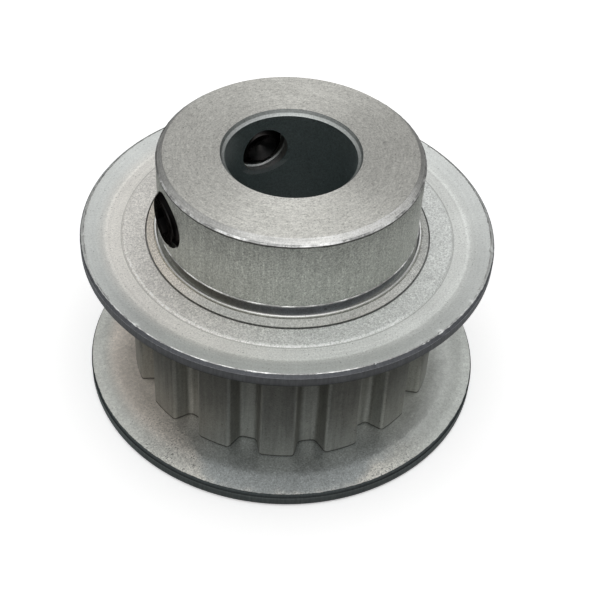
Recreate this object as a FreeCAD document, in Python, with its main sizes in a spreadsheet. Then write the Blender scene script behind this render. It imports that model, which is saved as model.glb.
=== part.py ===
import FreeCAD, Part
import math
import os
import Sketcher

# Flanged timing belt pulley: hub and toothed ring in one piece, two stamped
# flanges held by rolled collars, two cup point set screws across the bore.
# Lengths in millimetres, angles in degrees. The axis is Z, the outer end
# lies on Z = 0 and the hub rises above the belt channel.

DIMENSIONS = [
    ("tooth_count", 15),
    ("tooth_phase", 3.7),
    ("tooth_tip_radius", 11.875),
    ("groove_depth", 1.40),
    ("groove_floor_width", 1.27),
    ("groove_flank_angle", 23),
    ("groove_root_radius", 0.50),
    ("groove_crest_radius", 0.30),
    ("bore_radius", 4.77),
    ("bore_mouth_radius", 5.10),
    ("bore_mouth_depth", 0.40),
    ("bore_break_radius", 4.97),
    ("bore_break_depth", 0.24),
    ("end_width", 14.07),
    ("hub_radius", 9.63),
    ("hub_top", 20.86),
    ("hub_chamfer_width", 0.45),
    ("hub_chamfer_height", 0.40),
    ("hub_foot", 14.88),
    ("hub_foot_break", 0.07),
    ("neck_radius", 9.33),
    ("neck_depth", 0.55),
    ("collar_radius", 10.50),
    ("collar_edge", 0.07),
    ("collar_shoulder_radius", 10.02),
    ("collar_shoulder_height", 0.37),
    ("collar_height", 0.56),
    ("lip_crease", 0.05),
    ("lip_outer_radius", 9.96),
    ("lip_inner_radius", 9.74),
    ("lip_break", 0.07),
    ("rolled_groove_radius", 9.46),
    ("rolled_groove_width", 0.24),
    ("rolled_groove_depth", 0.28),
    ("flange_radius", 15.38),
    ("flange_thickness", 1.07),
    ("flange_hole_radius", 9.95),
    ("flange_hole_gap", 0.03),
    ("flange_set_back", 0.35),
    ("flange_rim_rise", 0.40),
    ("flange_pad_radius", 12.25),
    ("flange_pad_step", 0.06),
    ("flange_bend_radius", 13.45),
    ("flange_bend_fillet", 2.5),
    ("flange_rim_fillet", 0.20),
    ("screw_height", 17.55),
    ("screw_length", 4.76),
    ("screw_crest_radius", 2.04),
    ("screw_root_radius", 1.56),
    ("screw_pitch", 0.794),
    ("screw_tip_distance", 5.08),
    ("screw_cup_radius", 1.15),
    ("screw_cup_floor_radius", 0.20),
    ("screw_cup_depth", 0.60),
    ("screw_face_radius", 1.72),
    ("socket_flats", 1.984),
    ("socket_depth", 2.10),
    ("thread_root_half", 0.05),
    ("thread_mouth_half", 0.385),
    ("thread_overlap", 0.10),
    ("tapped_radius", 2.07),
    ("tapped_root_radius", 2.20),
    ("tapped_root_half", 0.06),
    ("tapped_mouth_half", 0.20),
    ("tapped_lip_radius", 1.82),
    ("tapped_lip_distance", 5.05),
    ("tapped_run", 5.20),
    ("cut_beyond_hub", 0.80),
    ("groove_cut_margin", 1.00),
]
SHEET = "Dimensions"
FULL_TURN = 360
HALF_TURN = 180
HEXAGON_SIDES = 6
EDGE_TOLERANCE = 0.02
LOWER_SEAT = "flange_set_back"
LOWER_FACE = "flange_set_back + flange_thickness"
UPPER_SEAT = "end_width - flange_set_back"
UPPER_FACE = "end_width - flange_set_back - flange_thickness"

value = dict(DIMENSIONS)
document = FreeCAD.newDocument("TimingBeltPulley")


def make_sheet():
    """Put every driving dimension in one sheet, named by its alias."""
    sheet = document.addObject("Spreadsheet::Sheet", SHEET)
    for row, (alias, number) in enumerate(DIMENSIONS, start=1):
        sheet.set("A%d" % row, alias.replace("_", " "))
        sheet.set("B%d" % row, str(number))
        sheet.setAlias("B%d" % row, alias)
    document.recompute()


def bound(expression):
    """Write an expression over aliases with the sheet's name before each."""
    words = expression.split(" ")
    return " ".join(SHEET + "." + word if word in value else word for word in words)


def evaluate(expression):
    """The number that a sum of aliases and numbers comes to."""
    total = 0.0
    sign = 1.0
    for word in expression.split(" "):
        if word == "-":
            sign = -1.0
        elif word == "+":
            sign = 1.0
        else:
            total += sign * (value[word] if word in value else float(word))
            sign = 1.0
    return total


def base_feature(body, role):
    """One of the base planes or axes of a body."""
    for feature in body.Origin.OriginFeatures:
        if feature.Role == role:
            return feature
    raise ValueError("the body has no " + role)


def new_sketch(body, name, plane, right="0", up="0", out="0"):
    """A sketch on a base plane, its origin moved by sheet expressions."""
    sketch = body.newObject("Sketcher::SketchObject", name)
    sketch.AttachmentSupport = (base_feature(body, plane), [""])
    sketch.MapMode = "FlatFace"
    shift = FreeCAD.Vector(evaluate(right), evaluate(up), evaluate(out))
    sketch.AttachmentOffset = FreeCAD.Placement(shift, FreeCAD.Rotation())
    for axis, expression in (("x", right), ("y", up), ("z", out)):
        if expression != "0":
            sketch.setExpression("AttachmentOffset.Base." + axis, bound(expression))
    return sketch


def place_corner(sketch, edge, point, across, along):
    """Fix the start of an edge by two signed dimensions with expressions."""
    for kind, number, expression in (
        ("DistanceX", point.x, across),
        ("DistanceY", point.y, along),
    ):
        index = sketch.addConstraint(Sketcher.Constraint(kind, edge, 1, number))
        sketch.setExpression("Constraints[%d]" % index, expression)


def outline(sketch, points, expressions):
    """A closed outline through points, each held by its pair of expressions."""
    edges = []
    for index, point in enumerate(points):
        following = points[(index + 1) % len(points)]
        edges.append(sketch.addGeometry(Part.LineSegment(point, following), False))
    for index, edge in enumerate(edges):
        following = edges[(index + 1) % len(edges)]
        sketch.addConstraint(Sketcher.Constraint("Coincident", edge, 2, following, 1))
    for edge, point, (across, along) in zip(edges, points, expressions):
        place_corner(sketch, edge, point, across, along)


def polygon(sketch, corners):
    """A closed outline whose corners are pairs of sums of aliases."""
    points = [FreeCAD.Vector(evaluate(a), evaluate(b), 0) for a, b in corners]
    outline(sketch, points, [(bound(a), bound(b)) for a, b in corners])


def circle(sketch, radius):
    """A circle about the sketch origin with its radius bound to the sheet."""
    centre = FreeCAD.Vector(0, 0, 0)
    shape = Part.Circle(centre, FreeCAD.Vector(0, 0, 1), evaluate(radius))
    edge = sketch.addGeometry(shape, False)
    sketch.addConstraint(Sketcher.Constraint("Coincident", edge, 3, -1, 1))
    index = sketch.addConstraint(Sketcher.Constraint("Radius", edge, evaluate(radius)))
    sketch.setExpression("Constraints[%d]" % index, bound(radius))


def finish_feature(body, feature):
    """Make a feature the tip of its body and compute it."""
    body.Tip = feature
    document.recompute()
    return feature


def revolve(body, sketch, name):
    """Turn a half section about the vertical axis of its sketch."""
    feature = body.newObject("PartDesign::Revolution", name)
    feature.Profile = sketch
    feature.ReferenceAxis = (sketch, ["V_Axis"])
    feature.Angle = FULL_TURN
    return finish_feature(body, feature)


def pocket(body, sketch, name, length):
    """Cut a sketch against its normal by a length bound to the sheet."""
    feature = body.newObject("PartDesign::Pocket", name)
    feature.Profile = sketch
    feature.Length = evaluate(length)
    feature.setExpression("Length", bound(length))
    return finish_feature(body, feature)


def helix_cut(body, sketch, axis, name, height):
    """Cut a thread section along a right hand helix about a sketch axis."""
    feature = body.newObject("PartDesign::SubtractiveHelix", name)
    feature.Profile = sketch
    feature.ReferenceAxis = (sketch, [axis])
    feature.Mode = "pitch-height-angle"
    feature.Pitch = value["screw_pitch"]
    feature.setExpression("Pitch", bound("screw_pitch"))
    feature.Height = evaluate(height)
    feature.setExpression("Height", bound(height))
    feature.Angle = 0
    return finish_feature(body, feature)


def fillet(body, base, name, chosen, radius):
    """Round every edge of the base that the chosen test accepts."""
    feature = body.newObject("PartDesign::Fillet", name)
    picked = []
    for number, edge in enumerate(base.Shape.Edges, start=1):
        if chosen(edge):
            picked.append("Edge%d" % number)
    feature.Base = (base, picked)
    feature.Radius = evaluate(radius)
    feature.setExpression("Radius", bound(radius))
    return finish_feature(body, feature)


def is_tooth_edge(edge, radius):
    """A straight edge along the teeth at the given distance from the axis."""
    ends = edge.Vertexes
    if len(ends) != 2 or not isinstance(edge.Curve, Part.Line):
        return False
    lean = math.hypot(ends[0].X - ends[1].X, ends[0].Y - ends[1].Y)
    distance = math.hypot(ends[0].X, ends[0].Y)
    return lean < EDGE_TOLERANCE and abs(distance - radius) < EDGE_TOLERANCE


def is_ring(edge, radius):
    """A circular edge with the given radius."""
    if not isinstance(edge.Curve, Part.Circle):
        return False
    return abs(edge.Curve.Radius - radius) < EDGE_TOLERANCE


def body_section(sketch):
    """Half section of the hub, the toothed ring and both rolled collars."""
    spigot = "flange_hole_radius - flange_hole_gap"
    shoulder = UPPER_SEAT + " + collar_shoulder_height"
    lip_top = UPPER_SEAT + " + collar_height"
    polygon(sketch, [
        ("bore_mouth_radius", "0"),
        ("rolled_groove_radius - rolled_groove_width", "0"),
        ("rolled_groove_radius", "rolled_groove_depth"),
        ("rolled_groove_radius + rolled_groove_width", "0"),
        ("lip_outer_radius", "0"),
        ("collar_radius", LOWER_SEAT + " - collar_edge"),
        ("collar_radius", LOWER_SEAT),
        (spigot, LOWER_SEAT),
        (spigot, LOWER_FACE),
        ("tooth_tip_radius", LOWER_FACE),
        ("tooth_tip_radius", UPPER_FACE),
        (spigot, UPPER_FACE),
        (spigot, UPPER_SEAT),
        ("collar_radius", UPPER_SEAT),
        ("collar_radius", UPPER_SEAT + " + collar_edge"),
        ("collar_shoulder_radius", shoulder),
        ("lip_outer_radius", shoulder + " - lip_crease"),
        ("lip_outer_radius", lip_top + " - lip_break"),
        ("lip_outer_radius - lip_break", lip_top),
        ("lip_inner_radius + lip_break", lip_top),
        ("lip_inner_radius", lip_top + " - lip_break"),
        ("lip_inner_radius - lip_break", lip_top + " - neck_depth"),
        ("neck_radius", lip_top + " - neck_depth"),
        ("neck_radius", "hub_foot"),
        ("hub_radius - hub_foot_break", "hub_foot"),
        ("hub_radius", "hub_foot + hub_foot_break"),
        ("hub_radius", "hub_top - hub_chamfer_height"),
        ("hub_radius - hub_chamfer_width", "hub_top"),
        ("bore_mouth_radius", "hub_top"),
        ("bore_break_radius", "hub_top - bore_break_depth"),
        ("bore_radius", "hub_top - bore_mouth_depth"),
        ("bore_radius", "bore_mouth_depth"),
    ])


def groove_outline(sketch):
    """The belt groove, its centre line half a pitch from the first tooth."""
    tip = value["tooth_tip_radius"]
    inner = tip - value["groove_depth"]
    outer = tip + value["groove_cut_margin"]
    slope = math.tan(math.radians(value["groove_flank_angle"]))
    half_floor = value["groove_floor_width"] / 2
    half_mouth = half_floor + slope * (outer - inner)
    turn = math.radians(HALF_TURN / value["tooth_count"])
    radial = FreeCAD.Vector(math.cos(turn), math.sin(turn), 0)
    side = FreeCAD.Vector(-math.sin(turn), math.cos(turn), 0)
    floor_text = bound("tooth_tip_radius - groove_depth")
    reach_text = bound("tooth_tip_radius + groove_cut_margin")
    half_floor_text = bound("groove_floor_width") + " / 2"
    span_text = bound("groove_cut_margin + groove_depth")
    slope_text = "tan(" + bound("groove_flank_angle") + ")"
    half_mouth_text = "%s + %s * (%s)" % (half_floor_text, slope_text, span_text)
    turn_text = "%d / %s" % (HALF_TURN, bound("tooth_count"))
    points = []
    expressions = []
    for along, along_text, half, half_text, sign in (
        (inner, floor_text, half_floor, half_floor_text, -1),
        (inner, floor_text, half_floor, half_floor_text, 1),
        (outer, reach_text, half_mouth, half_mouth_text, 1),
        (outer, reach_text, half_mouth, half_mouth_text, -1),
    ):
        points.append(radial * along + side * (sign * half))
        words = (along_text, turn_text, -sign, half_text, turn_text)
        across = "(%s) * cos(%s) + %d * (%s) * sin(%s)" % words
        words = (along_text, turn_text, sign, half_text, turn_text)
        upward = "(%s) * sin(%s) + %d * (%s) * cos(%s)" % words
        expressions.append((across, upward))
    outline(sketch, points, expressions)


def cut_teeth(body):
    """Cut one belt groove, repeat it round the ring and round its corners."""
    sketch = new_sketch(body, "GrooveOutline", "XY_Plane", out=UPPER_FACE)
    turn = FreeCAD.Rotation(FreeCAD.Vector(0, 0, 1), value["tooth_phase"])
    shift = sketch.AttachmentOffset.Base
    sketch.AttachmentOffset = FreeCAD.Placement(shift, turn)
    sketch.setExpression("AttachmentOffset.Rotation.Angle", bound("tooth_phase"))
    groove_outline(sketch)
    length = UPPER_FACE + " - flange_set_back - flange_thickness"
    groove = pocket(body, sketch, "BeltGroove", length)
    pattern = body.newObject("PartDesign::PolarPattern", "BeltGrooves")
    pattern.Originals = [groove]
    pattern.Axis = (base_feature(body, "Z_Axis"), [""])
    pattern.Angle = FULL_TURN
    pattern.Occurrences = value["tooth_count"]
    pattern.setExpression("Occurrences", bound("tooth_count"))
    finish_feature(body, pattern)
    tip = value["tooth_tip_radius"]
    root = math.hypot(tip - value["groove_depth"], value["groove_floor_width"] / 2)
    at_root = lambda edge: is_tooth_edge(edge, root)
    at_tip = lambda edge: is_tooth_edge(edge, tip)
    rounded = fillet(body, pattern, "GrooveRoots", at_root, "groove_root_radius")
    fillet(body, rounded, "GrooveCrests", at_tip, "groove_crest_radius")


def tap_hole(body, name, face_plane, section_plane, thread_start):
    """A radial tapped hole that leaves a short plain lip at the bore."""
    reach = "hub_radius + cut_beyond_hub"
    drill = new_sketch(body, name + "Drill", face_plane, up="screw_height")
    circle(drill, "tapped_lip_radius")
    pocket(body, drill, name + "DrillHole", reach)
    distance = "0 - tapped_lip_distance"
    wide = new_sketch(body, name + "Tap", face_plane, up="screw_height", out=distance)
    circle(wide, "tapped_radius")
    pocket(body, wide, name + "TapHole", reach + " - tapped_lip_distance")
    thread = new_sketch(body, name + "Thread", section_plane, up="screw_height")
    overlap = "tapped_radius - thread_overlap"
    polygon(thread, [
        (thread_start + " - tapped_mouth_half", overlap),
        (thread_start + " + tapped_mouth_half", overlap),
        (thread_start + " + tapped_root_half", "tapped_root_radius"),
        (thread_start + " - tapped_root_half", "tapped_root_radius"),
    ])
    helix_cut(body, thread, "H_Axis", name + "ThreadCut", "tapped_run")


def make_pulley_body():
    """The machined piece: hub, toothed ring, collars, bore, tapped holes."""
    body = document.addObject("PartDesign::Body", "PulleyBody")
    body.Label = "pulley_body"
    sketch = new_sketch(body, "TurnedSection", "XZ_Plane")
    body_section(sketch)
    revolve(body, sketch, "TurnedBlank")
    cut_teeth(body)
    left_start = "0 - hub_radius - cut_beyond_hub"
    tap_hole(body, "Left", "YZ_Plane", "XZ_Plane", left_start)
    tap_hole(body, "Back", "XZ_Plane", "YZ_Plane", "tapped_lip_distance + tapped_mouth_half")
    body.Placement = FreeCAD.Placement()
    return body


def make_flange(name, label, placement):
    """A stamped flange, channel face on Z = 0 and rim flared towards +Z."""
    body = document.addObject("PartDesign::Body", name)
    body.Label = label
    sketch = new_sketch(body, name + "Section", "XZ_Plane")
    pad_edge = "flange_pad_radius + flange_pad_step"
    polygon(sketch, [
        ("flange_hole_radius", "0"),
        ("flange_pad_radius", "0"),
        (pad_edge, "0 - flange_pad_step"),
        ("flange_bend_radius", "0 - flange_pad_step"),
        ("flange_radius", "flange_rim_rise"),
        ("flange_radius", "flange_rim_rise + flange_thickness"),
        ("flange_bend_radius", "flange_thickness - flange_pad_step"),
        (pad_edge, "flange_thickness - flange_pad_step"),
        ("flange_pad_radius", "flange_thickness"),
        ("flange_hole_radius", "flange_thickness"),
    ])
    blank = revolve(body, sketch, name + "Blank")
    at_bend = lambda edge: is_ring(edge, value["flange_bend_radius"])
    at_rim = lambda edge: is_ring(edge, value["flange_radius"])
    bent = fillet(body, blank, name + "Bends", at_bend, "flange_bend_fillet")
    fillet(body, bent, name + "Rim", at_rim, "flange_rim_fillet")
    body.Placement = placement
    return body


def draw_hexagon(sketch):
    """A regular hexagon about the sketch origin, sized across its flats."""
    step = FULL_TURN / HEXAGON_SIDES
    half_step = math.radians(step / 2)
    corner = value["socket_flats"] / 2 / math.cos(half_step)
    corner_text = "%s / 2 / cos(%d)" % (bound("socket_flats"), step / 2)
    points = []
    expressions = []
    for index in range(HEXAGON_SIDES):
        angle = math.radians(step * index)
        points.append(FreeCAD.Vector(corner * math.cos(angle), corner * math.sin(angle), 0))
        across = "%s * cos(%d)" % (corner_text, step * index)
        upward = "%s * sin(%d)" % (corner_text, step * index)
        expressions.append((across, upward))
    outline(sketch, points, expressions)


def draw_thread(sketch):
    """The V between two thread crests, one pitch beyond the screw's point."""
    reach = "screw_crest_radius + thread_overlap"
    polygon(sketch, [
        ("screw_root_radius", "0 - screw_pitch - thread_root_half"),
        (reach, "0 - screw_pitch - thread_mouth_half"),
        (reach, "thread_mouth_half - screw_pitch"),
        ("screw_root_radius", "thread_root_half - screw_pitch"),
    ])


def make_screw(name, label, placement):
    """A cup point set screw standing on its point, hexagon socket on top."""
    body = document.addObject("PartDesign::Body", name)
    body.Label = label
    sketch = new_sketch(body, name + "Section", "XZ_Plane")
    polygon(sketch, [
        ("0", "screw_cup_depth"),
        ("screw_cup_floor_radius", "screw_cup_depth"),
        ("screw_cup_radius", "0"),
        ("screw_crest_radius", "screw_crest_radius - screw_cup_radius"),
        ("screw_crest_radius", "screw_length + screw_face_radius - screw_crest_radius"),
        ("screw_face_radius", "screw_length"),
        ("0", "screw_length"),
    ])
    revolve(body, sketch, name + "Blank")
    hexagon = new_sketch(body, name + "Hexagon", "XY_Plane", out="screw_length")
    draw_hexagon(hexagon)
    pocket(body, hexagon, name + "Socket", "socket_depth")
    thread = new_sketch(body, name + "ThreadSection", "XZ_Plane")
    draw_thread(thread)
    run = "screw_length + screw_pitch + screw_pitch"
    helix_cut(body, thread, "V_Axis", name + "Thread", run)
    body.Placement = placement
    return body


def check(bodies):
    """Stop unless every object computed and every piece is one sound solid."""
    for item in document.Objects:
        if "Invalid" in item.State or "Error" in item.State:
            raise RuntimeError(item.Name + " did not compute")
    for body in bodies:
        if body.Shape.isNull() or not body.Shape.isValid():
            raise RuntimeError(body.Label + " has no valid shape")
        if len(body.Shape.Solids) != 1:
            raise RuntimeError(body.Label + " is not one solid")


make_sheet()
along_x = FreeCAD.Vector(1, 0, 0)
along_y = FreeCAD.Vector(0, 1, 0)
along_z = FreeCAD.Vector(0, 0, 1)
upright = FreeCAD.Rotation()
upside_down = FreeCAD.Rotation(along_x, HALF_TURN)
to_left = FreeCAD.Rotation(along_z, -along_x)
to_back = FreeCAD.Rotation(along_z, along_y)
hub_flange_base = along_z * evaluate(UPPER_FACE)
outer_flange_base = along_z * evaluate(LOWER_FACE)
screw_level = along_z * value["screw_height"]
left_base = screw_level - along_x * value["screw_tip_distance"]
back_base = screw_level + along_y * value["screw_tip_distance"]
pieces = [
    make_pulley_body(),
    make_flange(
        "HubFlange", "flange_hub_side", FreeCAD.Placement(hub_flange_base, upright)
    ),
    make_flange(
        "OuterFlange", "flange_outer_side", FreeCAD.Placement(outer_flange_base, upside_down)
    ),
    make_screw("LeftScrew", "set_screw_left", FreeCAD.Placement(left_base, to_left)),
    make_screw("BackScrew", "set_screw_back", FreeCAD.Placement(back_base, to_back)),
]
document.recompute()
check(pieces)
os.makedirs("parts", exist_ok=True)
for piece in pieces:
    piece.Shape.exportStep("parts/%s.step" % piece.Label)
    print(piece.Label, round(piece.Shape.Volume, 2))
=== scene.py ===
import math
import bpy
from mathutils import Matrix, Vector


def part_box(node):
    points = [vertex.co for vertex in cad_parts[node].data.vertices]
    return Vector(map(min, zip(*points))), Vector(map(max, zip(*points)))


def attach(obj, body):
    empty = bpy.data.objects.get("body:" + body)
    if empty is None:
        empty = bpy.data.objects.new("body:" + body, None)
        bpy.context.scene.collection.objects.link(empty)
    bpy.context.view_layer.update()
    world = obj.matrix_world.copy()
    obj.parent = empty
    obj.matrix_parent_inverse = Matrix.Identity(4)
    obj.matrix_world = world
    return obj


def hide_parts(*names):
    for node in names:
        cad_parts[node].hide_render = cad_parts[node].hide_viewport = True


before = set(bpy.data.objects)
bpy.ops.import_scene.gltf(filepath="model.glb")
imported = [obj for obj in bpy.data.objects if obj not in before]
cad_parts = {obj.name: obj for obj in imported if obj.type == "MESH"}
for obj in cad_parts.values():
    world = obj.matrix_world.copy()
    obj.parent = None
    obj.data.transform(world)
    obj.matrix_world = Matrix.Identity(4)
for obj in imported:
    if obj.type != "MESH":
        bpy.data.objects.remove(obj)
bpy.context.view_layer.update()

from types import SimpleNamespace

import bpy
from mathutils import Matrix, Vector, noise

# Looks of the timing belt pulley. Lengths are millimetres in the pulley's own
# frame unless they are said to be metres, and MM turns them into the scene's
# metres. Angles are degrees round the axis. Colours are linear red, green, blue.

MM = 0.001

# Read from the frame. The visible flanges stay BOX_MARGIN inside the CAD's box.
BOX_MARGIN = 0.001
BODY_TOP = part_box("pulley_body")[1].z / MM
FLANGE_RADIUS = -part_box("flange_hub_side")[0].x / MM - BOX_MARGIN
SCREW_BOX = [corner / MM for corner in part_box("set_screw_left")]
SCREW_HEIGHT = (SCREW_BOX[0].z + SCREW_BOX[1].z) / 2

# The body and the screws, as in the CAD: heights are over the outer end face.
END_WIDTH = 14.07
TIP_RADIUS = 11.875
SCREW_CREST_RADIUS = 2.04
TAPPED_ROOT_RADIUS = 2.20
HUB_RADIUS = 9.63
HUB_CHAMFER_WIDTH = 0.45
HUB_CHAMFER_HEIGHT = 0.40
HUB_FOOT = 14.88
LIP_TOP = 14.28
COLLAR_RADIUS = 10.50
BORE_RADIUS = 4.77
BORE_MOUTH_RADIUS = 5.10
BORE_MOUTH_DEPTH = 0.40

# Both flanges: heights are over the sheet's channel face, and each rim's edge is level
# with its end of the toothed ring. The cut edge's dark colour is painted dark reflection,
# RIM_BEVEL_WIDTH wide at the front and RIM_BEVEL_LEAST at the back. The sheet under the
# collar sits HOLE_GAP low, so that the two faces don't coincide. A dent lowers the rim's
# corner by DENT_DROP for each millimetre it goes in.
FLANGE_HOLE = 9.95
FLANGE_THICKNESS = 1.07
FLANGE_SET_BACK = 0.35
FLANGE_RIM_RISE = 0.40
PAD_RADIUS = 12.25
PAD_STEP = 0.06
BEND_RADIUS = 13.45
BEND_FILLET = 2.5
RIM_BEVEL_WIDTH = 0.26
RIM_BEVEL_LEAST = 0.07
RIM_BEVEL_HEIGHT = 0.20
RIM_HEIGHT = FLANGE_SET_BACK + FLANGE_THICKNESS
RIM_ROLL_WIDTH = 0.10
RIM_ROLL_HEIGHT = 0.16
GROOVE_WIDTH = 0.12
GROOVE_DEPTH = 0.16
GROOVE_SLOPE = 0.05
HOLE_GAP = 0.02
DENT_DROP = 0.6

# Where the channel face of each flange lies, over the outer end face.
LOWER_SEAT = RIM_HEIGHT
UPPER_SEAT = END_WIDTH - RIM_HEIGHT

# Where each flange's dents start, the steps round a ring, and the angle between
# faces that is shown as an edge.
UPPER_SEED = 11.0
LOWER_SEED = 31.0
FINE_STEPS = 1440
COARSE_STEPS = 1080
SHARP_ANGLE = 35

# The camera: its side of the axis, its turns, its distance from the axis and its
# height over the outer end face.
VIEW_AZIMUTH = -116.08
CAMERA_PITCH = 44.12
CAMERA_YAW = 0.63
CAMERA_ROLL = 3.22
CAMERA_REACH = 73.32
CAMERA_HEIGHT = 77.85
CAMERA_LENS = 79.48
SENSOR_WIDTH = 36.0

# The key light, in metres and watts; the sky's brightness from straight down to
# straight up; the plain backdrop; and the floor, its half width in metres.
KEY_ELEVATION = 52
KEY_DISTANCE = 0.50
KEY_SIZE = 0.45
KEY_POWER = 0.30
SKY_LEVELS = [(0.0, 0.05), (0.50, 0.10), (0.62, 0.33), (0.80, 0.70), (0.92, 1.00), (1.0, 1.35)]
BACKDROP = (0.93, 0.93, 0.93, 1)
WHITE = (1.0, 1.0, 1.0, 1)
FLOOR_HALF = 4.0
FLOOR_ROUGHNESS = 0.9
FLOOR_GLOW = 0.30

# The body's colours. Low, high, left, right and front are as the photograph shows it.
HUB_FACE = (0.590, 0.585, 0.550)
HUB_WALL_HIGH = (0.66, 0.675, 0.635)
HUB_WALL_LOW = (0.535, 0.55, 0.515)
CHAMFER = (0.57, 0.57, 0.55)
# Painted light: the chamfer's colour is lighter on its front, where the key light falls.
CHAMFER_FRONT_PAINTED_LIGHT = (0.66, 0.66, 0.64)
NECK_LOW = (0.54, 0.55, 0.60)
# Painted highlight: the neck's top, under the hub's edge, near white.
NECK_TOP_PAINTED_HIGHLIGHT = (0.92, 0.90, 0.87)
NECK_LEFT = (0.52, 0.50, 0.47)
# Painted highlight: the lip's near white colour.
LIP = (1.0, 1.0, 0.97)
COLLAR = (0.70, 0.68, 0.635)
COLLAR_RIGHT = (0.66, 0.665, 0.64)
COLLAR_LEFT = (0.75, 0.71, 0.645)
# Painted shade: the collar darker on its front.
COLLAR_FRONT_PAINTED_SHADE = (0.47, 0.475, 0.45)
BORE = (0.56, 0.62, 0.62)
BORE_MOUTH = (0.42, 0.44, 0.43)
# Painted light: the rear tapped hole's lower wall is near white, where overhead light falls into it.
TAPPED_HOLE_PAINTED_LIGHT = (0.95, 0.97, 0.96)
# Painted shade: the teeth are darker than the rest of the body, standing in for the shade between the
# flanges.
TEETH_WITH_PAINTED_SHADE = (0.34, 0.34, 0.315)

# The flanges' colours; cut is the edge's bevel and rim is its upright wall. Their dark
# colours are painted dark reflection.
UPPER_PAD = (0.755, 0.773, 0.757)
UPPER_PAD_WARM = (0.76, 0.745, 0.715)
UPPER_BEND = (0.775, 0.79, 0.77)
UPPER_BEND_WARM = (0.80, 0.785, 0.75)
UPPER_FLARE = (0.70, 0.72, 0.705)
UPPER_CUT_PAINTED_REFLECTION = (0.125, 0.13, 0.14)
UPPER_RIM_PAINTED_REFLECTION = (0.35, 0.36, 0.375)
# Painted dark reflection: the blue grey inner zone near the teeth.
LOWER_INNER_PAINTED_REFLECTION = (0.48, 0.51, 0.51)
LOWER_BAND = (0.68, 0.67, 0.63)
LOWER_LEFT_INNER = (0.72, 0.675, 0.62)
LOWER_LEFT_OUTER = (0.60, 0.61, 0.58)
LOWER_RIGHT = (0.61, 0.63, 0.605)
LOWER_CUT_PAINTED_REFLECTION = (0.095, 0.108, 0.110)
LOWER_RIM_PAINTED_REFLECTION = (0.26, 0.29, 0.29)

# The screws' black oxide, the burrs, and how far turning stretches the gloss.
OXIDE = (0.028, 0.028, 0.030)
OXIDE_BROWN = (0.046, 0.042, 0.040)
OXIDE_WORN = (0.13, 0.125, 0.12)
OXIDE_SHEEN = (0.20, 0.195, 0.195, 1)
BURR_DULL = (0.84, 0.85, 0.84)
BURR_BRIGHT = (0.90, 0.90, 0.88)
TURNED_STRETCH = 0.85


def on_circle(angle, radius, height=0.0):
    """A point at an angle in degrees round the pulley's axis."""
    turn = math.radians(angle)
    return Vector((radius * math.cos(turn), radius * math.sin(turn), height))


def grey(level):
    """A neutral colour with its alpha."""
    return (level, level, level, 1)


# ---------------------------------------------------------------- stage

def add_camera():
    """The photograph's view: over the front of the hub, rolled a little."""
    pitch = math.radians(CAMERA_PITCH)
    roll = math.radians(CAMERA_ROLL)
    heading = math.radians(VIEW_AZIMUTH + 180) - math.radians(CAMERA_YAW)
    forward = Vector((math.cos(heading) * math.cos(pitch),
                      math.sin(heading) * math.cos(pitch), -math.sin(pitch)))
    level = forward.cross(Vector((0, 0, 1))).normalized()
    upright = level.cross(forward)
    right = level * math.cos(roll) + upright * math.sin(roll)
    up = upright * math.cos(roll) - level * math.sin(roll)
    data = bpy.data.cameras.new("photo_camera")
    data.sensor_width = SENSOR_WIDTH
    data.lens = CAMERA_LENS
    data.clip_start = 0.001
    data.clip_end = 20.0
    camera = bpy.data.objects.new("photo_camera", data)
    turn = Matrix((right, up, -forward)).transposed().to_4x4()
    place = on_circle(VIEW_AZIMUTH, CAMERA_REACH, CAMERA_HEIGHT)
    camera.matrix_world = Matrix.Translation(place * MM) @ turn
    bpy.context.scene.collection.objects.link(camera)
    bpy.context.scene.camera = camera


def add_softbox(name, azimuth, elevation, distance, size, power):
    """A square area light that faces the pulley from a direction."""
    data = bpy.data.lights.new(name, "AREA")
    data.size = size
    data.energy = power
    lamp = bpy.data.objects.new(name, data)
    aim = math.radians(elevation)
    place = on_circle(azimuth, math.cos(aim), math.sin(aim)) * distance
    lamp.location = place + Vector((0, 0, BODY_TOP / 2 * MM))
    lamp.rotation_euler = place.to_track_quat("Z", "Y").to_euler()
    bpy.context.scene.collection.objects.link(lamp)


def add_surroundings():
    """Bright overhead, dim at the sides, dark below, and plain behind."""
    world = bpy.data.worlds.new("studio")
    bpy.context.scene.world = world
    world.use_nodes = True
    tree = world.node_tree
    tree.nodes.clear()
    direction = tree.nodes.new("ShaderNodeTexCoord")
    split = tree.nodes.new("ShaderNodeSeparateXYZ")
    span = tree.nodes.new("ShaderNodeMapRange")
    span.inputs["From Min"].default_value = -1
    levels = tree.nodes.new("ShaderNodeValToRGB")
    stops = levels.color_ramp.elements
    stops[0].position, stops[1].position = SKY_LEVELS[0][0], SKY_LEVELS[-1][0]
    stops[0].color = grey(SKY_LEVELS[0][1])
    stops[1].color = grey(SKY_LEVELS[-1][1])
    for position, level in SKY_LEVELS[1:-1]:
        stops.new(position).color = grey(level)
    sky = tree.nodes.new("ShaderNodeBackground")
    backdrop = tree.nodes.new("ShaderNodeBackground")
    backdrop.inputs["Color"].default_value = BACKDROP
    rays = tree.nodes.new("ShaderNodeLightPath")
    either = tree.nodes.new("ShaderNodeMixShader")
    output = tree.nodes.new("ShaderNodeOutputWorld")
    tree.links.new(direction.outputs["Generated"], split.inputs[0])
    tree.links.new(split.outputs["Z"], span.inputs["Value"])
    tree.links.new(span.outputs[0], levels.inputs[0])
    tree.links.new(levels.outputs[0], sky.inputs["Color"])
    tree.links.new(rays.outputs["Is Camera Ray"], either.inputs[0])
    tree.links.new(sky.outputs[0], either.inputs[1])
    tree.links.new(backdrop.outputs[0], either.inputs[2])
    tree.links.new(either.outputs[0], output.inputs["Surface"])


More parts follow.
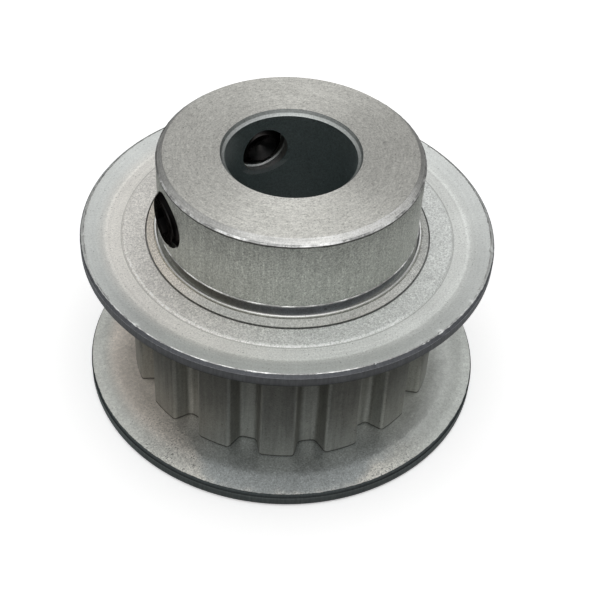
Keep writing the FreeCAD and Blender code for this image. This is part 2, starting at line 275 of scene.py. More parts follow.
def add_floor():
    """A pale, softly glowing floor, hidden from the pulley's reflections."""
    half = FLOOR_HALF
    corners = [(-half, -half, 0), (half, -half, 0), (half, half, 0), (-half, half, 0)]
    mesh = bpy.data.meshes.new("floor")
    mesh.from_pydata(corners, [], [(0, 1, 2, 3)])
    floor = bpy.data.objects.new("floor", mesh)
    bpy.context.scene.collection.objects.link(floor)
    material = bpy.data.materials.new("pale_floor")
    material.use_nodes = True
    shader = material.node_tree.nodes["Principled BSDF"]
    shader.inputs["Base Color"].default_value = WHITE
    shader.inputs["Roughness"].default_value = FLOOR_ROUGHNESS
    shader.inputs["Emission Color"].default_value = WHITE
    shader.inputs["Emission Strength"].default_value = FLOOR_GLOW
    mesh.materials.append(material)
    floor.visible_glossy = False


# ---------------------------------------------------------------- materials

class Look:
    """A metal finish made of nodes; patterns are in millimetres of the frame."""

    def __init__(self, name):
        self.material = bpy.data.materials.new(name)
        self.material.use_nodes = True
        self.tree = self.material.node_tree
        self.shader = self.tree.nodes["Principled BSDF"]
        self.shader.inputs["Metallic"].default_value = 1.0
        place = self.tree.nodes.new("ShaderNodeTexCoord").outputs["Object"]
        self.place = self.vector("SCALE", place, scale=1 / MM)
        self.x, self.y, self.z = self.split(self.place)
        self.radius = self.vector("LENGTH", self.join(self.x, self.y, 0))
        self.around = self.vector("NORMALIZE", self.join(self.x, self.y, 0))

    def feed(self, socket, source):
        """A link from another node, or a plain value; nothing leaves the socket alone."""
        if isinstance(source, bpy.types.NodeSocket):
            self.tree.links.new(source, socket)
        elif source is not None:
            socket.default_value = source

    def maths(self, operation, first, second=None, third=None):
        node = self.tree.nodes.new("ShaderNodeMath")
        node.operation = operation
        for socket, source in zip(node.inputs, (first, second, third)):
            self.feed(socket, source)
        return node.outputs[0]

    def vector(self, operation, first, second=None, scale=None):
        node = self.tree.nodes.new("ShaderNodeVectorMath")
        node.operation = operation
        self.feed(node.inputs[0], first)
        if operation == "SCALE":
            self.feed(node.inputs["Scale"], scale)
        elif second is not None:
            self.feed(node.inputs[1], second)
        return node.outputs["Value" if operation == "LENGTH" else "Vector"]

    def split(self, source):
        node = self.tree.nodes.new("ShaderNodeSeparateXYZ")
        self.feed(node.inputs[0], source)
        return node.outputs

    def join(self, x, y, z):
        node = self.tree.nodes.new("ShaderNodeCombineXYZ")
        for socket, source in zip(node.inputs, (x, y, z)):
            self.feed(socket, source)
        return node.outputs[0]

    def ramp(self, source, low, high, bottom=0.0, top=1.0):
        """Bottom below low, top above high, and a smooth step between."""
        node = self.tree.nodes.new("ShaderNodeMapRange")
        node.interpolation_type = "SMOOTHSTEP"
        for socket, value in zip(node.inputs, (source, low, high, bottom, top)):
            self.feed(socket, value)
        return node.outputs[0]

    def fade(self, source, low, high):
        """One below low, nothing above high."""
        return self.ramp(source, low, high, 1.0, 0.0)

    def band(self, source, low, high, edge=0.03):
        """One between low and high, nothing outside."""
        rise = self.ramp(source, low - edge, low + edge)
        fall = self.fade(source, high - edge, high + edge)
        return self.maths("MULTIPLY", rise, fall)

    def product(self, *factors):
        """Masks or tones multiplied; of masks, it is where all of them are."""
        result = factors[0]
        for factor in factors[1:]:
            result = self.maths("MULTIPLY", result, factor)
        return result

    def noise(self, place, scale, detail=2.0, roughness=0.6):
        node = self.tree.nodes.new("ShaderNodeTexNoise")
        self.feed(node.inputs["Vector"], place)
        for name, value in (("Scale", scale), ("Detail", detail), ("Roughness", roughness)):
            node.inputs[name].default_value = value
        return node.outputs["Fac"]

    def rings(self, pitch, breaks):
        """Fine lines round the axis, broken up as they go round."""
        x, y, _ = self.split(self.vector("SCALE", self.around, scale=breaks))
        return self.noise(self.join(self.maths("DIVIDE", self.radius, pitch), x, y), 1.0, 2.0)

    def lathe_lines(self, pitch):
        """Fine lines round the axis on an upright wall."""
        x, y, _ = self.split(self.around)
        return self.noise(self.join(self.maths("DIVIDE", self.z, pitch), x, y), 1.0, 3.0)

    def streaks(self, width, length):
        """Lines along the axis."""
        stretched = self.vector("MULTIPLY", self.place, (1 / width, 1 / width, 1 / length))
        return self.noise(stretched, 1.0, 2.0)

    def towards(self, angle, start, full):
        """One on the side of the axis at an angle, nothing on the other side."""
        node = self.tree.nodes.new("ShaderNodeVectorMath")
        node.operation = "DOT_PRODUCT"
        self.feed(node.inputs[0], self.around)
        node.inputs[1].default_value = on_circle(angle, 1.0)
        return self.ramp(node.outputs["Value"], start, full)

    def swing(self, pattern, amount):
        """A pattern round one half turned into a factor round one."""
        return self.maths("MULTIPLY_ADD", pattern, 2 * amount, 1 - amount)

    def pick(self, mask, outside, inside):
        """Outside where the mask is nothing, inside where it is one."""
        node = self.tree.nodes.new("ShaderNodeMix")
        node.data_type = "FLOAT"
        for name, value in (("Factor", mask), ("A", outside), ("B", inside)):
            self.feed(next(s for s in node.inputs if s.name == name and s.enabled), value)
        return next(s for s in node.outputs if s.enabled)

    def tint(self, mask, outside, inside):
        """Two colours by a mask."""
        node = self.tree.nodes.new("ShaderNodeMix")
        node.data_type = "RGBA"
        for name, value in (("Factor", mask), ("A", outside), ("B", inside)):
            value = (*value, 1) if isinstance(value, tuple) else value
            self.feed(next(s for s in node.inputs if s.name == name and s.enabled), value)
        return next(s for s in node.outputs if s.enabled)

    def shade(self, tone, layers):
        """A tone times each layer's factor, where its mask is."""
        for mask, factor in layers:
            tone = self.product(tone, self.pick(mask, 1.0, factor))
        return tone

    def paint(self, colour, layers):
        """A colour with each layer's colour over it, where its mask is."""
        for mask, layer in layers:
            colour = self.tint(mask, colour, layer)
        return colour

    def bump(self, height, depth, normal=None):
        """Relief of a pattern, its depth in millimetres."""
        node = self.tree.nodes.new("ShaderNodeBump")
        node.inputs["Distance"].default_value = depth * MM
        self.feed(node.inputs["Height"], height)
        self.feed(node.inputs["Normal"], normal)
        return node.outputs[0]

    def stretch_gloss(self, mask, amount):
        """Gloss drawn out round the axis, as turning leaves it, where the mask is one."""
        tangent = self.tree.nodes.new("ShaderNodeTangent")
        tangent.direction_type = "RADIAL"
        tangent.axis = "Z"
        self.feed(self.shader.inputs["Tangent"], tangent.outputs[0])
        self.feed(self.shader.inputs["Anisotropic"], self.pick(mask, 0.0, amount))
        self.shader.inputs["Anisotropic Rotation"].default_value = 0.25

    def finish(self, colour, tone, roughness, normal):
        """The material, once its colour, tone, roughness and relief are known."""
        self.feed(self.shader.inputs["Base Color"], self.vector("SCALE", colour, scale=tone))
        self.feed(self.shader.inputs["Roughness"], roughness)
        self.feed(self.shader.inputs["Normal"], normal)
        return self.material


def edge_masks(look):
    """The hub's wall, its chamfer by side with painted light on its front and right front, and a
    painted shadow line under the chamfer's burr.
    """
    hub_edge = BODY_TOP - HUB_CHAMFER_HEIGHT
    inner = HUB_RADIUS - HUB_CHAMFER_WIDTH
    chamfer = look.product(look.ramp(look.radius, inner - 0.02, inner + 0.02),
                           look.band(look.z, hub_edge, BODY_TOP - 0.015, 0.012))
    outside = look.ramp(look.radius, HUB_RADIUS - 0.06, HUB_RADIUS - 0.03)
    ragged = look.maths("MULTIPLY_ADD", look.noise(look.place, 1.2), 0.16, hub_edge - 0.29)
    return SimpleNamespace(
        chamfer=chamfer,
        # Painted light: the chamfer lighter on its front and brighter towards the right front.
        chamfer_front_painted_light=look.product(chamfer, look.towards(VIEW_AZIMUTH + 24, 0.50, 0.85)),
        chamfer_right_painted_light=look.product(chamfer, look.towards(VIEW_AZIMUTH + 38, 0.80, 0.97)),
        wall=look.product(outside, look.band(look.z, HUB_FOOT + 0.1, hub_edge - 0.02, 0.02)),
        wall_low=look.fade(look.z, HUB_FOOT + 0.6, hub_edge - 0.4),
        # Painted shadow: the dark line under the chamfer's burr.
        burr_painted_shadow=look.product(
            outside,
            look.ramp(look.maths("SUBTRACT", look.z, ragged), 0.0, 0.05),
            look.fade(look.z, hub_edge - 0.05, hub_edge - 0.02)),
    )


def collar_masks(look):
    """The rolled collar with its sides and painted shade on its front, the lip inside it with a
    painted highlight, and the neck with a painted highlight at its top.
    """
    collar = look.product(look.band(look.z, END_WIDTH - 0.5, LIP_TOP - 0.06),
                          look.ramp(look.radius, HUB_RADIUS + 0.30, HUB_RADIUS + 0.36))
    return SimpleNamespace(
        collar=collar,
        collar_right=look.product(collar, look.towards(VIEW_AZIMUTH + 100, 0.2, 0.7)),
        collar_left=look.product(collar, look.towards(VIEW_AZIMUTH - 65, 0.3, 0.9)),
        # Painted shade on the collar's front.
        collar_front_painted_shade=look.product(collar, look.towards(VIEW_AZIMUTH, 0.55, 0.95)),
        # The lip, where a highlight is painted.
        lip=look.product(
            look.ramp(look.z, LIP_TOP - 0.04, LIP_TOP - 0.02),
            look.band(look.radius, HUB_RADIUS + 0.06, HUB_RADIUS + 0.36, 0.02),
            look.fade(look.z, HUB_FOOT - 0.3, HUB_FOOT - 0.2)),
        neck=look.product(
            look.band(look.z, LIP_TOP - 0.5, HUB_FOOT + 0.02),
            look.fade(look.radius, HUB_RADIUS - 0.1, HUB_RADIUS + 0.1),
            look.ramp(look.radius, BORE_MOUTH_RADIUS, BORE_MOUTH_RADIUS + 0.5)),
        # Painted highlight at the neck's top.
        neck_top_painted_highlight=look.ramp(look.z, LIP_TOP + 0.26, LIP_TOP + 0.40),
        neck_left=look.towards(VIEW_AZIMUTH - 75, 0.2, 0.8),
    )


def end_masks(look):
    """The hub's top face with its painted sheen, the bore, its mouth, and the wall of the rear tapped
    hole, which is painted light.
    """
    near_top = BODY_TOP - 0.03
    face = look.ramp(look.z, near_top, near_top + 0.02)
    above_screw = look.maths("SUBTRACT", look.z, SCREW_HEIGHT)
    from_hole = look.vector("LENGTH", look.join(look.x, above_screw, 0))
    return SimpleNamespace(
        face=face,
        # Painted sheen of the turned top face: lighter at the front, darker at the right side.
        face_front=look.product(face, look.towards(VIEW_AZIMUTH + 5, 0.66, 0.92)),
        face_side_painted_sheen=look.product(face, look.towards(VIEW_AZIMUTH + 95, 0.60, 0.95)),
        bore=look.fade(look.radius, BORE_RADIUS + 0.03, BORE_RADIUS + 0.10),
        mouth=look.product(
            look.fade(look.radius, BORE_MOUTH_RADIUS - 0.01, BORE_MOUTH_RADIUS + 0.02),
            look.band(look.z, BODY_TOP - BORE_MOUTH_DEPTH, BODY_TOP + 0.1, 0.02)),
        # Painted light on the lower wall of the rear tapped hole.
        tapped_hole=look.product(
            look.fade(from_hole, TAPPED_ROOT_RADIUS - 0.04, TAPPED_ROOT_RADIUS + 0.04),
            look.towards(90, 0.80, 0.85),
            look.fade(look.radius, BORE_RADIUS + 0.9, BORE_RADIUS + 1.4),
            look.fade(look.z, SCREW_HEIGHT - 1.6, SCREW_HEIGHT - 0.9)),
    )


def tooth_masks(look):
    """The toothed ring, with painted highlights on its crests, painted light towards its roots, and a
    painted contact shadow at its foot.
    """
    teeth = look.product(look.ramp(look.radius, COLLAR_RADIUS - 0.3, COLLAR_RADIUS - 0.2),
                         look.fade(look.z, END_WIDTH - 1.0, END_WIDTH - 0.9))
    return SimpleNamespace(
        teeth=teeth,
        # Painted highlight along the crests.
        crest=look.product(teeth, look.band(look.radius, TIP_RADIUS - 0.26, TIP_RADIUS - 0.02, 0.02)),
        # Painted reflected light, lighter towards the roots.
        root=look.product(teeth, look.fade(look.radius, TIP_RADIUS - 1.35, TIP_RADIUS - 0.45)),
        # Painted contact shadow along the foot of the teeth.
        foot=look.product(teeth, look.fade(look.z, LOWER_SEAT + 0.06, LOWER_SEAT + 0.18)),
    )


def body_patterns(look):
    """Grain, and the marks of turning, drawing, hobbing and reaming."""
    return SimpleNamespace(
        grain=look.noise(look.place, 9.0, 2.0, 0.7),
        coarse=look.noise(look.place, 3.5),
        cloud=look.noise(look.place, 0.30),
        turned=look.rings(0.11, 14.0),
        feed=look.rings(0.35, 0.8),
        drawn=look.streaks(0.20, 2.2),
        hobbed=look.streaks(0.30, 6.0),
        reamed=look.lathe_lines(0.25),
        scraped=look.rings(0.09, 5.0),
        specks=look.ramp(look.noise(look.place, 6.5, 1.0), 0.60, 0.68),
        pits=look.ramp(look.noise(look.place, 4.5, 1.0), 0.72, 0.76),
    )


def body_tone(look, edge, ring, end, gear, marks):
    """How light the metal is: its patterns, then the darker and lighter places."""
    even = look.maths("ADD", edge.wall, ring.collar)
    speckled = look.product(look.maths("ADD", edge.wall, end.face), marks.specks)
    tone = look.product(
        look.swing(marks.cloud, 0.12), look.swing(marks.coarse, 0.16),
        look.pick(even, look.swing(marks.grain, 0.50), look.swing(marks.grain, 0.95)))
    return look.shade(tone, [
        (speckled, 0.74),
        (edge.chamfer, look.swing(marks.scraped, 0.45)),
        # Painted light: the chamfer brighter towards the right front.
        (edge.chamfer_right_painted_light, 1.38),
        (end.face, look.swing(marks.turned, 0.34)),
        (end.face, look.swing(marks.feed, 0.10)),
        (edge.wall, look.swing(marks.drawn, 0.28)),
        (gear.teeth, look.swing(marks.hobbed, 0.34)),
        (marks.pits, 0.6),
        # Painted shadow under the chamfer's burr.
        (edge.burr_painted_shadow, 0.28),
        # Painted sheen on the top face: lighter at the front, darker at the right side.
        (end.face_front, 1.13),
        (end.face_side_painted_sheen, 0.91),
        # Painted highlight on the crests, painted light at the roots and a painted contact shadow at
        # the foot.
        (gear.crest, 1.22),
        (gear.root, 1.18),
        (gear.foot, 0.30),
    ])


def body_colour(look, edge, ring, end, gear):
    """The metal's colour, place by place; each layer covers the ones before it."""
    walls = look.tint(edge.wall_low, HUB_WALL_HIGH, HUB_WALL_LOW)
    # Painted highlight at the neck's top.
    neck = look.tint(ring.neck_top_painted_highlight, NECK_LOW, NECK_TOP_PAINTED_HIGHLIGHT)
    neck = look.tint(ring.neck_left, neck, NECK_LEFT)
    return look.paint(walls, [
        (end.face, HUB_FACE),
        # Painted light: the chamfer's front lighter.
        (edge.chamfer, CHAMFER),
        (edge.chamfer_front_painted_light, CHAMFER_FRONT_PAINTED_LIGHT),
        (ring.collar, COLLAR),
        (ring.collar_right, COLLAR_RIGHT),
        (ring.collar_left, COLLAR_LEFT),
        # Painted shade on the collar's front.
        (ring.collar_front_painted_shade, COLLAR_FRONT_PAINTED_SHADE),
        # Painted highlight on the lip.
        (ring.lip, LIP),
        (end.bore, BORE),
        (end.mouth, BORE_MOUTH),
        # Painted light in the rear tapped hole.
        (end.tapped_hole, TAPPED_HOLE_PAINTED_LIGHT),
        (ring.neck, neck),
        # Painted shade on the teeth.
        (gear.teeth, TEETH_WITH_PAINTED_SHADE),
    ])


def body_roughness(look, edge, ring, end, gear, marks):
    """How matt each face is."""
    rough = look.pick(end.bore, 0.42, 0.34)
    for mask, roughness in [(edge.chamfer, 0.42), (edge.wall, 0.55), (ring.collar, 0.60),
                            (gear.teeth, 0.50), (ring.lip, 0.34)]:
        rough = look.pick(mask, rough, roughness)
    return look.product(rough, look.swing(marks.grain, 0.25))


def body_relief(look, edge, ring, end, gear, marks):
    """Fine tool marks, too small to model."""
    upright = look.maths("ADD", edge.wall, gear.teeth)
    lathed = look.maths("ADD", end.bore, ring.neck)
    normal = look.bump(marks.grain, 0.010)
    normal = look.bump(look.product(marks.turned, end.face), 0.006, normal)
    normal = look.bump(look.product(marks.drawn, upright), 0.006, normal)
    return look.bump(look.product(marks.reamed, lathed), 0.008, normal)


def aluminium():
    """The turned, drawn, hobbed and reamed faces of the pulley body."""
    look = Look("machined_aluminium_look")
    edge = edge_masks(look)
    ring = collar_masks(look)
    end = end_masks(look)
    gear = tooth_masks(look)
    marks = body_patterns(look)
    look.stretch_gloss(look.maths("MAXIMUM", end.face, edge.chamfer), TURNED_STRETCH)
    return look.finish(body_colour(look, edge, ring, end, gear),
                       body_tone(look, edge, ring, end, gear, marks),
                       body_roughness(look, edge, ring, end, gear, marks),
                       body_relief(look, edge, ring, end, gear, marks))


def sheet_patterns(look):
    """The grain that both stampings share."""
    return SimpleNamespace(
        grain=look.noise(look.place, 8.5, 2.0, 0.75),
        coarse=look.noise(look.place, 3.6, 2.0, 0.7),
        cloud=look.noise(look.place, 0.25),
    )


def finish_sheet(look, colour, tone, rough, marks, cut_painted_reflection, rim_painted_reflection):
    """The sheet's own look, and its cut edge: sheared streaks, a dark colour that is painted dark
    reflection and reaches further in at the front, and a rim wall painted lighter, most of all at the
    front.
    """
    sheared = look.streaks(0.16, 0.8)
    wider = look.towards(VIEW_AZIMUTH, 0.0, 0.85)
    front = look.towards(VIEW_AZIMUTH, 0.45, 0.97)
    ragged = look.maths("MULTIPLY_ADD", look.noise(look.place, 2.2), 0.12, -0.06)
    reach = look.maths("MULTIPLY_ADD", wider, RIM_BEVEL_WIDTH - RIM_BEVEL_LEAST, look.radius)
    reach = look.maths("ADD", reach, ragged)
    inner_edge = FLANGE_RADIUS - RIM_BEVEL_LEAST
    # The cut's dark colour is painted dark reflection, reaching further in at the front.
    cut = look.ramp(reach, inner_edge - 0.005, inner_edge + 0.02)
    rim = look.ramp(look.radius, FLANGE_RADIUS - 0.012, FLANGE_RADIUS - 0.005)
    colour = look.paint(colour, [(cut, cut_painted_reflection), (rim, rim_painted_reflection)])
    tone = look.pick(cut, tone, look.swing(sheared, 0.35))
    # Painted light: the rim wall lighter, most of all at the front.
    tone = look.shade(tone, [(look.product(cut, rim), look.pick(front, 1.7, 1.15))])
    rough = look.pick(cut, rough, 0.60)
    normal = look.bump(look.maths("ADD", marks.grain, marks.coarse), 0.012)
    normal = look.bump(look.product(sheared, cut), 0.012, normal)
    return look.finish(colour, tone, rough, normal)


def upper_sheet():
    """The hub side flange: blasted pad, rubbed bend and a smooth flare."""
    look = Look("stamped_upper_look")
    marks = sheet_patterns(look)
    drawn = look.rings(0.30, 0.8)
    groove_edge = COLLAR_RADIUS + GROOVE_WIDTH
    bend = look.ramp(look.radius, PAD_RADIUS + 0.02, PAD_RADIUS + 0.10)
    flare = look.ramp(look.radius, BEND_RADIUS - 0.25, BEND_RADIUS + 0.95)
    # Painted highlight: the pad's step lighter at the front.
    step_painted_highlight = look.product(look.band(look.radius, PAD_RADIUS - 0.14, PAD_RADIUS + 0.02, 0.03),
                         look.towards(VIEW_AZIMUTH - 15, 0.25, 0.85))
    # Painted shadow: a dark ring just beyond the pad's step.
    step_painted_shadow = look.band(look.radius, PAD_RADIUS + 0.08, PAD_RADIUS + 0.17, 0.03)
    bend_line = look.band(look.radius, BEND_RADIUS - 0.10, BEND_RADIUS + 0.10, 0.09)
    # Painted shadow: a dark line in the groove beside the collar.
    collar_groove_painted_shadow = look.fade(look.radius, groove_edge - 0.03, groove_edge + 0.03)
    specks = look.ramp(look.noise(look.place, 7.0, 1.0), 0.70, 0.75)
    warm = look.towards(VIEW_AZIMUTH - 75, 0.0, 0.9)

    blasted = look.product(look.swing(marks.grain, 0.75), look.swing(marks.coarse, 0.15))
    rubbed_and_reflection = look.product(look.swing(marks.grain, 0.38), look.swing(drawn, 0.12))
    smooth = look.product(look.swing(marks.grain, 0.28), look.swing(drawn, 0.10))
    tone = look.pick(flare, look.pick(bend, blasted, rubbed_and_reflection), smooth)
    tone = look.shade(look.product(tone, look.swing(marks.cloud, 0.12)), [
        # Painted highlight on the pad's step and painted shadow beyond it.
        (step_painted_highlight, 1.28),
        (step_painted_shadow, 0.72),
        (bend_line, 1.12),
        # Painted shadow beside the collar.
        (collar_groove_painted_shadow, look.swing(marks.grain, 0.4)),
        (collar_groove_painted_shadow, 0.5),
        (specks, 0.55),
    ])
    colour = look.paint(look.tint(warm, UPPER_PAD, UPPER_PAD_WARM), [
        (bend, look.tint(warm, UPPER_BEND, UPPER_BEND_WARM)),
        (flare, UPPER_FLARE),
    ])
    rough = look.product(look.pick(flare, 0.64, 0.54), look.swing(marks.grain, 0.20))
    return finish_sheet(look, colour, tone, rough, marks, UPPER_CUT_PAINTED_REFLECTION, UPPER_RIM_PAINTED_REFLECTION)


def lower_sheet():
    """The outer flange, seen from inside: a blue grey inner zone of painted dark reflection, which
    reaches further out at the front, and a beige pitted rim band.
    """
    look = Look("stamped_lower_look")
    marks = sheet_patterns(look)
    blotch = look.noise(look.place, 0.9, 3.0)
    # The front, where the painted blue grey reflection reaches further out.
    rubbed_and_reflection = look.towards(VIEW_AZIMUTH + 2, 0.86, 0.95)
    left = look.towards(VIEW_AZIMUTH - 85, 0.35, 0.90)
    right = look.towards(VIEW_AZIMUTH + 95, 0.35, 0.80)
    smooth = look.maths("MAXIMUM", look.towards(VIEW_AZIMUTH - 90, 0.55, 0.85),
                        look.towards(VIEW_AZIMUTH + 95, 0.45, 0.80))
    reach = look.maths("ADD", look.radius, look.product(blotch, 1.6))
    reach = look.maths("SUBTRACT", reach, look.product(rubbed_and_reflection, 1.5))
    reach = look.maths("ADD", reach, look.product(left, 2.4))
    band = look.ramp(reach, BEND_RADIUS + 0.5, BEND_RADIUS + 1.7)
    rim_band = look.ramp(look.radius, FLANGE_RADIUS - 1.3, FLANGE_RADIUS - 0.4)
    outer = look.ramp(look.radius, BEND_RADIUS - 0.1, FLANGE_RADIUS - 0.8)
    dense = look.ramp(blotch, 0.42, 0.60)
    spots = look.product(look.ramp(look.noise(look.place, 7.5, 1.0), 0.58, 0.66),
                         look.pick(band, 0.25, 1.0), look.pick(dense, 0.35, 1.0),
                         look.pick(smooth, 1.0, 0.30))

    tone = look.pick(smooth, look.swing(marks.grain, 0.75), look.swing(marks.grain, 0.30))
    tone = look.product(tone, look.swing(marks.coarse, 0.20), look.swing(marks.cloud, 0.20),
                        look.swing(blotch, 0.12))
    tone = look.shade(tone, [(spots, 0.42), (look.product(rim_band, band), 1.18)])
    # Painted dark reflection in the blue grey inner zone.
    colour = look.paint(look.tint(band, LOWER_INNER_PAINTED_REFLECTION, LOWER_BAND), [
        (left, look.tint(outer, LOWER_LEFT_INNER, LOWER_LEFT_OUTER)),
        (right, LOWER_RIGHT),
    ])
    rough = look.product(look.pick(band, 0.50, 0.66), look.swing(marks.grain, 0.20))
    return finish_sheet(look, colour, tone, rough, marks, LOWER_CUT_PAINTED_REFLECTION, LOWER_RIM_PAINTED_REFLECTION)


def black_oxide(name, across):
    """Oiled black oxide on a screw, worn to steel on the crests."""
    look = Look(name)
    look.shader.inputs["Specular Tint"].default_value = OXIDE_SHEEN
    height = look.maths("SUBTRACT", look.z, SCREW_HEIGHT)
    from_axis = look.vector("LENGTH", look.join(across(look), height, 0))
    crest = look.ramp(from_axis, SCREW_CREST_RADIUS - 0.08, SCREW_CREST_RADIUS)
    grain = look.noise(look.place, 9.0, 2.0, 0.7)
    patch = look.noise(look.place, 1.3)
    worn = look.product(crest, look.ramp(patch, 0.50, 0.62))
    tone = look.product(look.swing(grain, 0.4), look.swing(patch, 0.3))
    colour = look.tint(worn, look.tint(patch, OXIDE, OXIDE_BROWN), OXIDE_WORN)
    rough = look.product(0.34, look.swing(grain, 0.3))
    return look.finish(colour, tone, rough, look.bump(grain, 0.010))


def bright_burr():
    """Bare metal on a burr, bright where it has been rubbed."""
    look = Look("bright_burr_look")
    grain = look.noise(look.place, 6.0, 2.0, 0.7)
    rubbed_and_reflection = look.ramp(look.noise(look.place, 0.7), 0.40, 0.60, 0.40, 1.0)
    tone = look.product(look.swing(grain, 0.6), rubbed_and_reflection)
    colour = look.tint(grain, BURR_DULL, BURR_BRIGHT)
    return look.finish(colour, tone, 0.38, look.bump(grain, 0.01))


# ---------------------------------------------------------------- pieces

def round_corners(corners, steps=6):
    """A closed outline in (radius, height) with an arc at each corner."""
    points = []
    for index, (across, height, fillet) in enumerate(corners):
        corner = Vector((across, height))
        if fillet == 0:
            points.append(corner)
            continue
        back = (Vector(corners[index - 1][:2]) - corner).normalized()
        ahead = (Vector(corners[(index + 1) % len(corners)][:2]) - corner).normalized()
        half = back.angle(ahead) / 2
        centre = corner + (back + ahead).normalized() * fillet / math.sin(half)
        start = corner + back * fillet / math.tan(half) - centre
        sweep = math.pi - 2 * half
        if back.cross(ahead) > 0:
            sweep = -sweep
        for step in range(steps + 1):
            points.append(centre + Matrix.Rotation(sweep * step / steps, 2) @ start)
    return points


def divided(outline, longest=0.30):
    """The outline with its long sides split, so that a dent stays local."""
    points = []
    for index, point in enumerate(outline):
        side = Vector(outline[(index + 1) % len(outline)]) - Vector(point)
        parts = max(1, math.ceil(side.length / longest))
        points += [Vector(point) + side * part / parts for part in range(parts)]
    return points


def spin(name, section, turns, body, material):
    """A closed ring: section(angle) gives its outline at each step round."""
    vertices = []
    for step in range(turns):
        angle = 360 * step / turns
        vertices += [on_circle(angle, across, height) * MM for across, height in section(angle)]
    width = len(vertices) // turns
    faces = []
    for step in range(turns):
        here, there = step * width, (step + 1) % turns * width
        for point in range(width):
            after = (point + 1) % width
            faces.append((here + point, there + point, there + after, here + after))
    mesh = bpy.data.meshes.new(name)
    mesh.from_pydata(vertices, [], faces)
    mesh.polygons.foreach_set("use_smooth", [True] * len(faces))
    mesh.set_sharp_from_angle(angle=math.radians(SHARP_ANGLE))
    mesh.materials.append(material)
    piece = bpy.data.objects.new(name, mesh)
    bpy.context.scene.collection.objects.link(piece)
    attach(piece, body)
    return piece


def wander(angle, pace, seed):
    """Smooth chance from -1 to 1 that closes after a full turn."""
    return noise.noise(on_circle(angle, pace, seed))


def dents(angle, pace, seed, least, depth):
    """Hollows where chance passes its least value, and nothing between them."""
    return max(0.0, wander(angle, pace, seed) - least) * depth


def dent_depth(angle, seed):
    """How far handling has pushed the rim's corner in: long dents and short ones."""
    long_dents = dents(angle, 22.0, seed, least=0.30, depth=0.22)
    short_dents = dents(angle, 60.0, seed + 3, least=0.25, depth=0.12)
    return long_dents + short_dents


def flange_outline():
    """The stamping's section in (radius, height, fillet), with its rim flared upwards."""
    top = FLANGE_THICKNESS
    groove_outer = COLLAR_RADIUS + GROOVE_WIDTH
    groove_inner = COLLAR_RADIUS - 0.10
    hole_top = top - HOLE_GAP
    return round_corners([
        (FLANGE_HOLE, 0, 0),
        (PAD_RADIUS - 0.3, 0, 0),
        (PAD_RADIUS + 0.3, -PAD_STEP, 0),
        (BEND_RADIUS, -PAD_STEP, BEND_FILLET),
        (FLANGE_RADIUS - RIM_ROLL_WIDTH, FLANGE_RIM_RISE, 0),
        (FLANGE_RADIUS, FLANGE_RIM_RISE + RIM_ROLL_HEIGHT, 0),
        (FLANGE_RADIUS, RIM_HEIGHT - RIM_BEVEL_HEIGHT, 0),
        (FLANGE_RADIUS - RIM_BEVEL_WIDTH, RIM_HEIGHT, 0),
        (BEND_RADIUS, top - PAD_STEP, BEND_FILLET),
        (PAD_RADIUS + PAD_STEP, top - PAD_STEP, 0),
        (PAD_RADIUS, top, 0),
        (groove_outer, top, 0),
        (groove_outer - GROOVE_SLOPE, top - GROOVE_DEPTH, 0),
        (groove_inner, top - GROOVE_DEPTH, 0),
        (groove_inner, hole_top, 0),
        (FLANGE_HOLE, hole_top, 0),
    ])


def add_flange(name, node, seat, up, seed, material):
    """A flange with the small nicks that handling leaves on its rim."""
    outline = divided(flange_outline())
    corner = Vector((FLANGE_RADIUS - RIM_BEVEL_WIDTH, RIM_HEIGHT))

    def section(angle):
        worn = dent_depth(angle, seed) + 0.016 + wander(angle, 140.0, seed + 6) * 0.016
        points = []
        for across, height in outline:
            near = math.exp(-((Vector((across, height)) - corner).length / 0.20) ** 2)
            inward = near * worn
            points.append((across - inward, seat + up * (height - inward * DENT_DROP)))
        return points if up > 0 else points[::-1]

    piece = spin(name, section, FINE_STEPS, "pulley", material)
    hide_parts(node)


def add_rim_burr(name, seat, seed, material):
    """The thin bright wire that shearing left on the hub side flange's rim."""
    ring = FLANGE_RADIUS - RIM_BEVEL_WIDTH

    def section(angle):
        dent = dent_depth(angle, seed)
        width = 0.045 + 0.020 * wander(angle, 70.0, seed + 9)
        stand = 0.040 + 0.022 * wander(angle, 45.0, seed + 12)
        middle = ring - dent - 0.02 + 0.010 * wander(angle, 30.0, seed + 15)
        foot = seat + RIM_HEIGHT - dent * DENT_DROP - 0.03
        return [
            (middle - width, foot - 0.02),
            (middle + width, foot - 0.03),
            (middle + width, foot + 0.005),
            (middle - width * 0.2, foot + stand),
        ]

    spin(name, section, FINE_STEPS, "pulley", material)


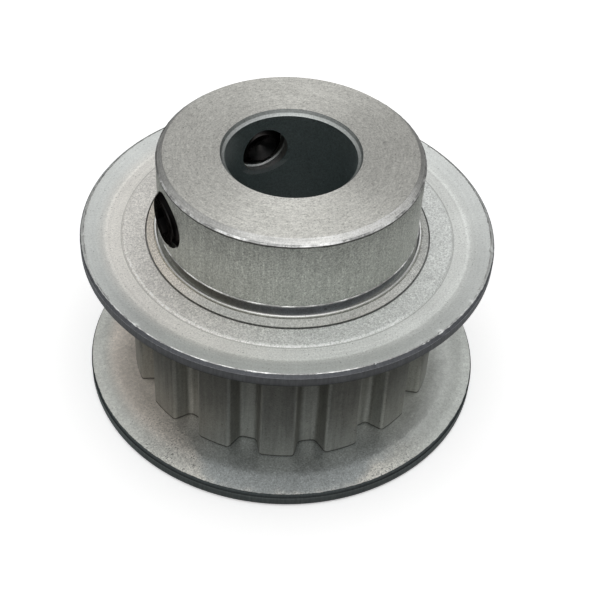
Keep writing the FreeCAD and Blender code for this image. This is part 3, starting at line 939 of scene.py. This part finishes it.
def add_hub_burr(material):
    """The burr left along the hub's chamfer, where its wall begins."""
    edge = BODY_TOP - HUB_CHAMFER_HEIGHT
    slope = HUB_CHAMFER_HEIGHT / HUB_CHAMFER_WIDTH
    reach = 0.10

    def section(angle):
        stand = 0.022 + 0.020 * wander(angle, 40.0, 1.0) + 0.012 * wander(angle, 120.0, 4.0)
        drop = 0.040 + 0.045 * wander(angle, 18.0, 8.0)
        return [
            (HUB_RADIUS - reach, edge + reach * slope - 0.05),
            (HUB_RADIUS - 0.02, edge - drop - 0.02),
            (HUB_RADIUS + 0.004, edge - drop),
            (HUB_RADIUS + stand, edge - drop * 0.5),
            (HUB_RADIUS - reach + 0.004, edge + reach * slope + 0.002),
        ]

    spin("hub_edge_burr", section, FINE_STEPS, "pulley", material)


def add_foot_burr(material):
    """The turned edge at the hub's foot, over the neck."""
    inside = HUB_RADIUS - 0.06

    def section(angle):
        outside = HUB_RADIUS + 0.045 + 0.030 * wander(angle, 50.0, 21.0)
        thick = 0.075 + 0.030 * wander(angle, 34.0, 24.0)
        return [
            (inside, HUB_FOOT + 0.10),
            (inside, HUB_FOOT + 0.01),
            (outside, HUB_FOOT + 0.01),
            (outside, HUB_FOOT + thick),
            (HUB_RADIUS + 0.002, HUB_FOOT + thick + 0.03),
        ]

    spin("hub_foot_burr", section, COARSE_STEPS, "pulley", material)


# ---------------------------------------------------------------- assembly

add_camera()
add_softbox("key_light", VIEW_AZIMUTH, KEY_ELEVATION, KEY_DISTANCE, KEY_SIZE, KEY_POWER)
add_surroundings()
add_floor()

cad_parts["pulley_body"].material_slots[0].material = aluminium()
screw_looks = {
    "set_screw_left": black_oxide("black_oxide_left", lambda look: look.y),
    "set_screw_back": black_oxide("black_oxide_back", lambda look: look.x),
}
for node, look in screw_looks.items():
    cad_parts[node].material_slots[0].material = look

upper_look = upper_sheet()
lower_look = lower_sheet()
add_flange("hub_side_flange", "flange_hub_side", UPPER_SEAT, 1, UPPER_SEED, upper_look)
add_flange("outer_side_flange", "flange_outer_side", LOWER_SEAT, -1, LOWER_SEED, lower_look)
burr_look = bright_burr()
add_rim_burr("flange_rim_burr", UPPER_SEAT, UPPER_SEED, burr_look)
add_hub_burr(burr_look)
add_foot_burr(burr_look)

bpy.context.scene.view_settings.view_transform = "Standard"
